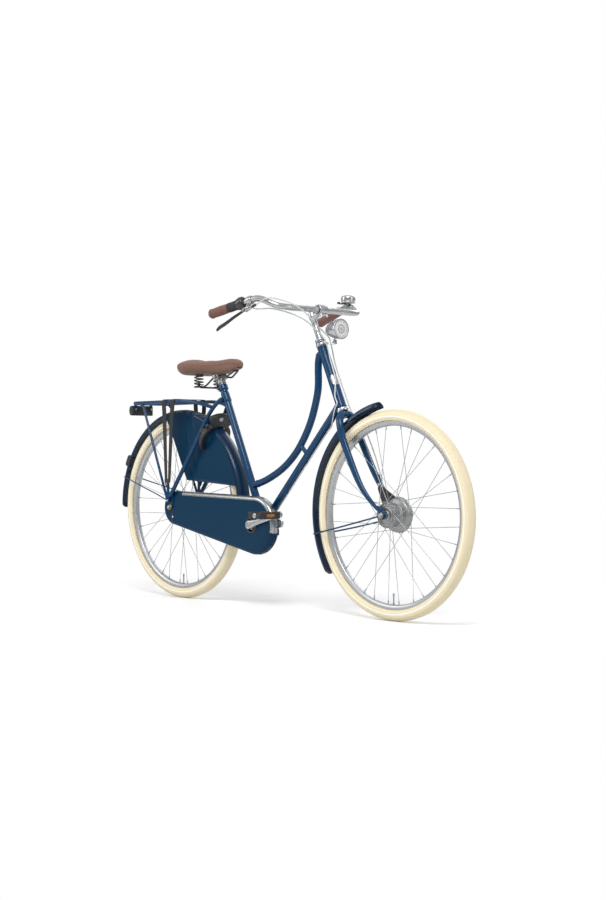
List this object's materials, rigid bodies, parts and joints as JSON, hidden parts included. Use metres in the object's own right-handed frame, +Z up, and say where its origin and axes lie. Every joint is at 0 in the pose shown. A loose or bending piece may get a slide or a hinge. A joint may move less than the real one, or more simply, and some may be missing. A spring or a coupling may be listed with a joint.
{
  "type": "dutch city bicycle",
  "caption": "Step-through city bicycle with a swept loop frame, full chain case, coat guards, ring lock, rear carrier with straps, front drum brake and twist shifter.",
  "frame": {"origin": "on the ground, in the middle of the bicycle's length and width", "axes": "+X forward, +Y to the rider's left, +Z up"},
  "size_m": [1.8739, 0.5626, 1.144],
  "materials": {
    "frame_paint": "gloss",
    "lacquered_cloth": "semi-gloss coated cloth",
    "tyre_rubber": "cream rubber",
    "polished_alloy": "polished",
    "plated_steel": "zinc plated",
    "chrome": "mirror polished",
    "black_plastic": "satin",
    "pedal_plastic": "matte",
    "black_steel": "semi-gloss",
    "saddle_cover": "grained",
    "grip_leather": "grained",
    "strap_rubber": "matte woven",
    "red_lens": "gloss",
    "clear_lens": "clear",
    "cable_housing": "satin"
  },
  "bodies": {
    "frame": {"head_tube": "frame_paint", "loop_tube": "frame_paint", "down_tube": "frame_paint", "seat_tube": "frame_paint", "chain_stays": "frame_paint", "seat_stays": "frame_paint", "rear_axle": "plated_steel", "rear_mudguard": "frame_paint", "tail_reflector": "red_lens", "seat_post": "polished_alloy", "saddle_frame": "black_steel", "saddle_spring_right": "black_steel", "saddle_spring_left": "black_steel", "saddle_cover": "saddle_cover", "carrier": "frame_paint", "carrier_straps": "strap_rubber", "rear_light": "black_plastic", "ring_lock": "black_plastic", "coat_guard_right": "lacquered_cloth", "coat_guard_left": "lacquered_cloth", "chain_case": "lacquered_cloth", "chain": "plated_steel", "shift_cable_frame": "cable_housing"},
    "lock_bolt": {"lock_bolt": "plated_steel"},
    "rear_wheel": {"rear_tyre": "tyre_rubber", "rear_rim": "polished_alloy", "rear_spokes_right": "plated_steel", "rear_spokes_left": "plated_steel", "rear_hub": "polished_alloy"},
    "driver": {"rear_sprocket": "plated_steel"},
    "crank": {"bottom_bracket_axle": "plated_steel", "chainring": "plated_steel", "crank_right": "polished_alloy", "crank_left": "polished_alloy"},
    "pedal_right": {"pedal_right": "pedal_plastic"},
    "pedal_left": {"pedal_left": "pedal_plastic"},
    "steering": {"fork": "frame_paint", "lamp_bracket": "plated_steel", "stem": "polished_alloy", "handlebar": "polished_alloy", "grip_left": "grip_leather", "grip_right": "grip_leather", "brake_lever_bracket": "polished_alloy", "gear_shifter_housing": "black_plastic", "bell": "chrome", "headlight_housing": "chrome", "headlight_lens": "clear_lens", "front_mudguard": "frame_paint", "front_axle": "plated_steel", "front_brake_unit": "black_plastic", "brake_cable": "cable_housing", "shift_cable_bar": "cable_housing"},
    "front_wheel": {"front_tyre": "tyre_rubber", "front_rim": "polished_alloy", "front_spokes_right": "plated_steel", "front_spokes_left": "plated_steel", "front_hub": "polished_alloy"},
    "twist_grip": {"twist_sleeve": "black_plastic"},
    "brake_lever": {"brake_lever": "black_plastic"},
    "bell_lever": {"bell_lever": "black_plastic"}
  },
  "joints": [
    {"name": "steering", "type": "hinge", "parent": "frame", "child": "steering", "pos_m": [0.321, 0, 0.749], "axis": [-0.4142, 0, 0.9102], "range_deg": [-60, 60]},
    {"name": "front_wheel", "type": "hinge", "parent": "steering", "child": "front_wheel", "pos_m": [0.582, 0, 0.355], "axis": [0, 1, 0], "continuous": true},
    {"name": "rear_wheel", "type": "hinge", "parent": "frame", "child": "rear_wheel", "pos_m": [-0.557, 0, 0.355], "axis": [0, 1, 0], "continuous": true},
    {"name": "crank", "type": "hinge", "parent": "frame", "child": "crank", "pos_m": [-0.077, 0, 0.303], "axis": [0, 1, 0], "continuous": true},
    {"name": "driver", "type": "hinge", "parent": "frame", "child": "driver", "pos_m": [-0.557, 0, 0.355], "axis": [0, 1, 0], "continuous": true},
    {"name": "pedal_right", "type": "hinge", "parent": "crank", "child": "pedal_right", "pos_m": [0.08795, -0.145, 0.34413], "axis": [0, 1, 0], "continuous": true},
    {"name": "pedal_left", "type": "hinge", "parent": "crank", "child": "pedal_left", "pos_m": [-0.24195, 0.145, 0.26187], "axis": [0, 1, 0], "continuous": true},
    {"name": "lock_bolt", "type": "hinge", "parent": "frame", "child": "lock_bolt", "pos_m": [-0.36537, 0, 0.62366], "axis": [0.848, 0, -0.5299], "range_deg": [0, 78], "stiffness_Nm_per_rad": 0.02, "springref_deg": -22.92},
    {"name": "twist_grip", "type": "hinge", "parent": "steering", "child": "twist_grip", "pos_m": [0.09006, -0.23096, 1.0921], "axis": [-0.9495, -0.2221, -0.2217], "range_deg": [-70, 70]},
    {"name": "brake_lever", "type": "hinge", "parent": "steering", "child": "brake_lever", "pos_m": [0.091, -0.236, 1.064], "axis": [0.2402, 0.9707, 0], "range_deg": [0, 12], "stiffness_Nm_per_rad": 1.5, "springref_deg": -8.59},
    {"name": "bell_lever", "type": "hinge", "parent": "steering", "child": "bell_lever", "pos_m": [0.14298, 0.19914, 1.111], "axis": [0, 0, 1], "range_deg": [0, 24], "stiffness_Nm_per_rad": 0.02, "springref_deg": -17.19}
  ],
  "couplings": [
    {"joint": "driver", "follows": "crank", "ratio": 2}
  ]
}
